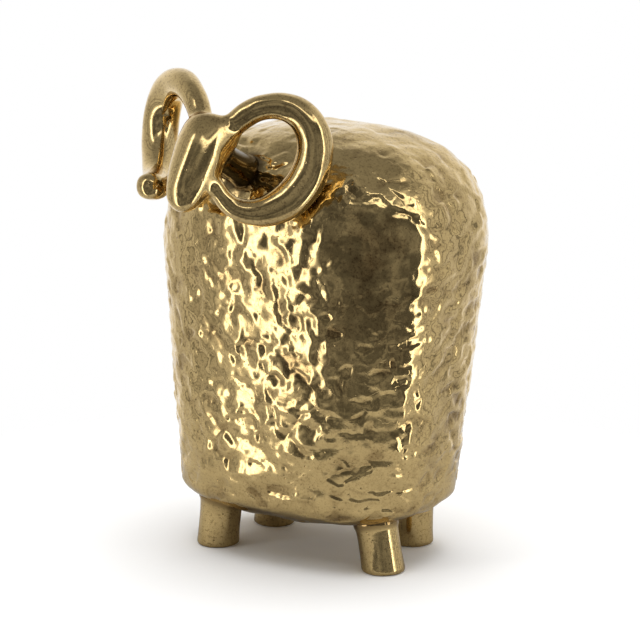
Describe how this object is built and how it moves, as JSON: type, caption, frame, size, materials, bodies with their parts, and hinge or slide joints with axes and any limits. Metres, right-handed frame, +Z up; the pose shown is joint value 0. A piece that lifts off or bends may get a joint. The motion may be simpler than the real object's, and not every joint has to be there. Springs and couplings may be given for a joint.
{
  "type": "ram figurine",
  "caption": "Free-standing ram ornament with a tall soft block of a body, a smooth egg-shaped head, thick curled horns and stubby peg legs.",
  "frame": {"origin": "on the ground under the middle of the ornament's box", "axes": "+Z up, the ram faces -Y, its own left is +X"},
  "size_m": [0.1316, 0.1335, 0.2015],
  "materials": {
    "gold_fleece": "mirror gold lustre over a hammered, dimpled surface with pinholes",
    "gold_smooth": "mirror gold lustre, smooth"
  },
  "bodies": {
    "root": {"body_shell": "gold_fleece", "head": "gold_smooth", "horn_left": "gold_smooth", "horn_right": "gold_smooth", "leg_front_left": "gold_smooth", "leg_front_right": "gold_smooth", "leg_rear_left": "gold_smooth", "leg_rear_right": "gold_smooth"}
  },
  "joints": []
}
